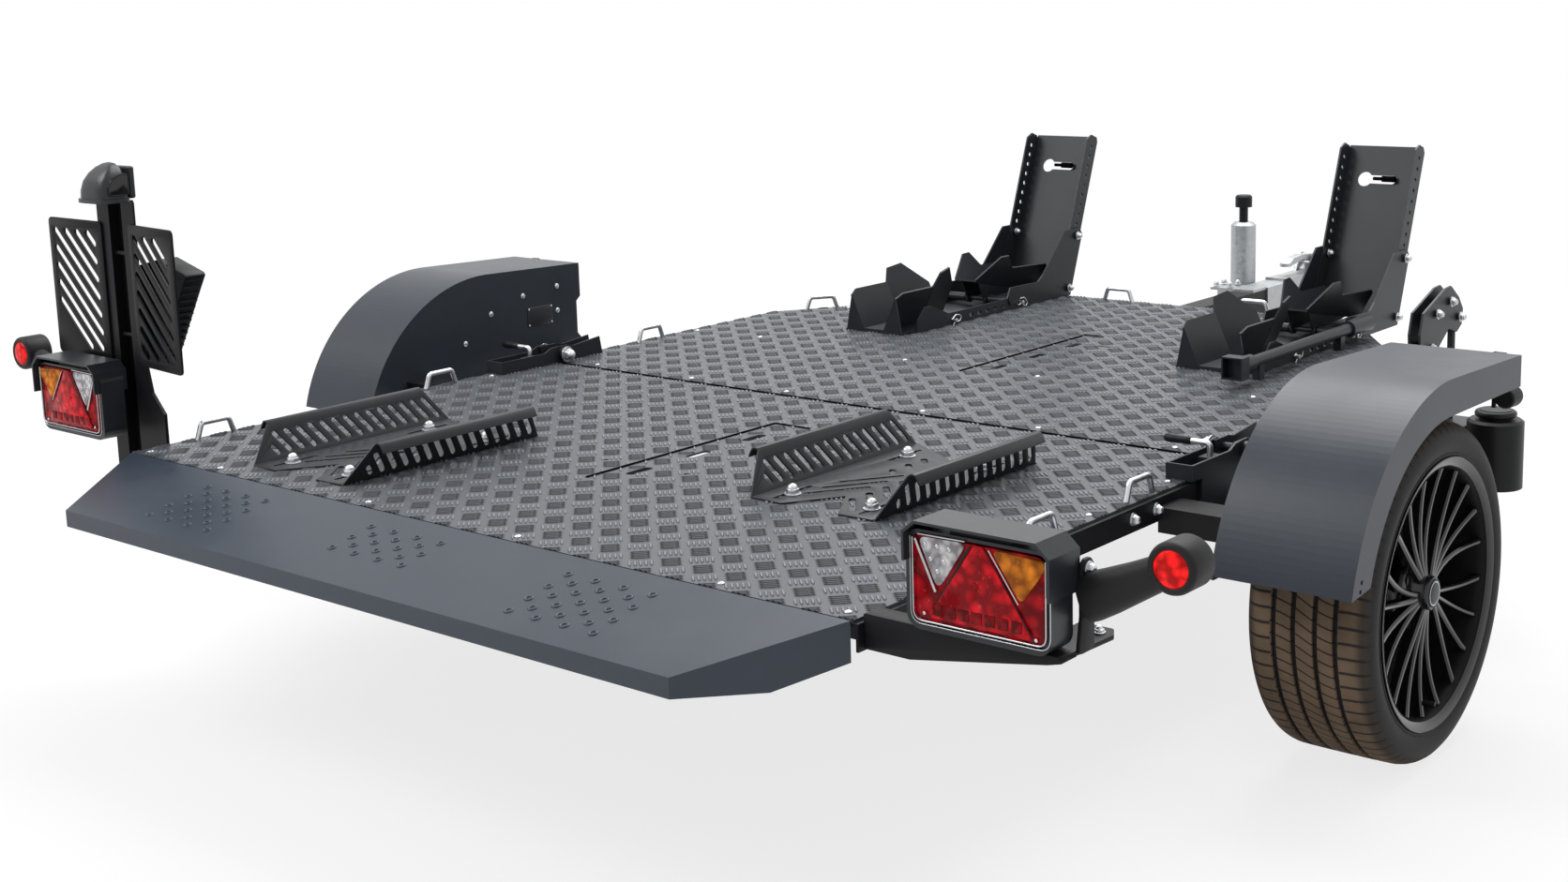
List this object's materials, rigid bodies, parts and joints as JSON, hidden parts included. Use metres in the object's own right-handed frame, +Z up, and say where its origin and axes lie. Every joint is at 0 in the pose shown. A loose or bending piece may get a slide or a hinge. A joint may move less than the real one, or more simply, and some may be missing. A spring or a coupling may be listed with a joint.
{
  "type": "motorcycle trailer",
  "caption": "Low-deck motorcycle trailer with tread-plate deck, torsion axle, rolled wings, wheel cradles with uprights, guide channels, lamps and a plate mast.",
  "frame": {"origin": "under the middle of the trailer's box, on the ground", "axes": "+Y towards the drawbar and coupling, +X to the trailer's right-hand side, +Z up"},
  "size_m": [2.54, 3.22, 0.926],
  "materials": {
    "satin_steel": "satin powder coat",
    "gloss_alloy": "gloss",
    "zinc_steel": "zinc plated",
    "black_plastic": "moulded",
    "tyre_rubber": "matt",
    "black_rubber": "matt",
    "red_lens": "clear moulded"
  },
  "bodies": {
    "trailer_frame": {"chassis_beams": "satin_steel", "axle_beam": "satin_steel", "cross_members": "satin_steel", "side_rails": "satin_steel", "front_rails": "satin_steel", "rear_deck": "satin_steel", "front_deck": "satin_steel", "rear_ramp": "satin_steel", "drawbar": "satin_steel", "coupling_head": "zinc_steel", "jack_tube": "zinc_steel", "jack_leg": "zinc_steel", "left_wing": "satin_steel", "right_wing": "satin_steel", "left_axle_arm": "satin_steel", "right_axle_arm": "satin_steel", "left_fold_bracket": "satin_steel", "right_fold_bracket": "satin_steel", "left_tail_lamp": "black_plastic", "right_tail_lamp": "black_plastic", "left_tail_lens": "red_lens", "right_tail_lens": "red_lens", "left_lamp_arm": "satin_steel", "right_lamp_arm": "satin_steel", "left_front_marker": "black_rubber", "right_front_marker": "black_rubber", "plate_mast": "satin_steel", "plate_wings": "satin_steel", "plate_lamp": "black_plastic", "wheel_wedge": "black_plastic", "left_channel": "satin_steel", "right_channel": "satin_steel", "left_chock_frame": "satin_steel", "right_chock_frame": "satin_steel", "left_chock_upright": "satin_steel", "right_chock_upright": "satin_steel", "tie_down_loops": "zinc_steel", "link_bracket": "black_plastic", "suspension_canister": "black_plastic", "stowed_bar": "black_plastic"},
    "left_wheel": {"left_tyre": "tyre_rubber", "left_rim": "gloss_alloy"},
    "right_wheel": {"right_tyre": "tyre_rubber", "right_rim": "gloss_alloy"},
    "left_cradle": {"left_rocker": "satin_steel"},
    "right_cradle": {"right_rocker": "satin_steel"},
    "left_handle": {"left_lock_handle": "zinc_steel"},
    "right_handle": {"right_lock_handle": "zinc_steel"},
    "hitch_lever": {"coupling_lever": "zinc_steel"},
    "jack_wheel_knob": {"jack_knob": "black_plastic"}
  },
  "joints": [
    {"name": "left_wheel_spin", "type": "hinge", "parent": "trailer_frame", "child": "left_wheel", "pos_m": [-1.076, -0.425, 0.265], "axis": [1, 0, 0], "continuous": true},
    {"name": "right_wheel_spin", "type": "hinge", "parent": "trailer_frame", "child": "right_wheel", "pos_m": [1.076, -0.425, 0.265], "axis": [1, 0, 0], "continuous": true},
    {"name": "left_cradle_rock", "type": "hinge", "parent": "trailer_frame", "child": "left_cradle", "pos_m": [-0.425, 0.65, 0.443], "axis": [1, 0, 0], "range_deg": [0, 10]},
    {"name": "right_cradle_rock", "type": "hinge", "parent": "trailer_frame", "child": "right_cradle", "pos_m": [0.425, 0.65, 0.443], "axis": [1, 0, 0], "range_deg": [0, 10]},
    {"name": "left_handle_turn", "type": "hinge", "parent": "trailer_frame", "child": "left_handle", "pos_m": [-0.803, -0.465, 0.44], "axis": [0, 0, 1], "range_deg": [0, 180]},
    {"name": "right_handle_turn", "type": "hinge", "parent": "trailer_frame", "child": "right_handle", "pos_m": [0.803, -0.465, 0.44], "axis": [0, 0, 1], "range_deg": [0, 180]},
    {"name": "coupling_lever_lift", "type": "hinge", "parent": "trailer_frame", "child": "hitch_lever", "pos_m": [0, 1.552, 0.46], "axis": [1, 0, 0], "range_deg": [-40, 0]},
    {"name": "jack_knob_turn", "type": "hinge", "parent": "trailer_frame", "child": "jack_wheel_knob", "pos_m": [-0.069, 1.32, 0.6], "axis": [0, 0, 1], "continuous": true}
  ]
}
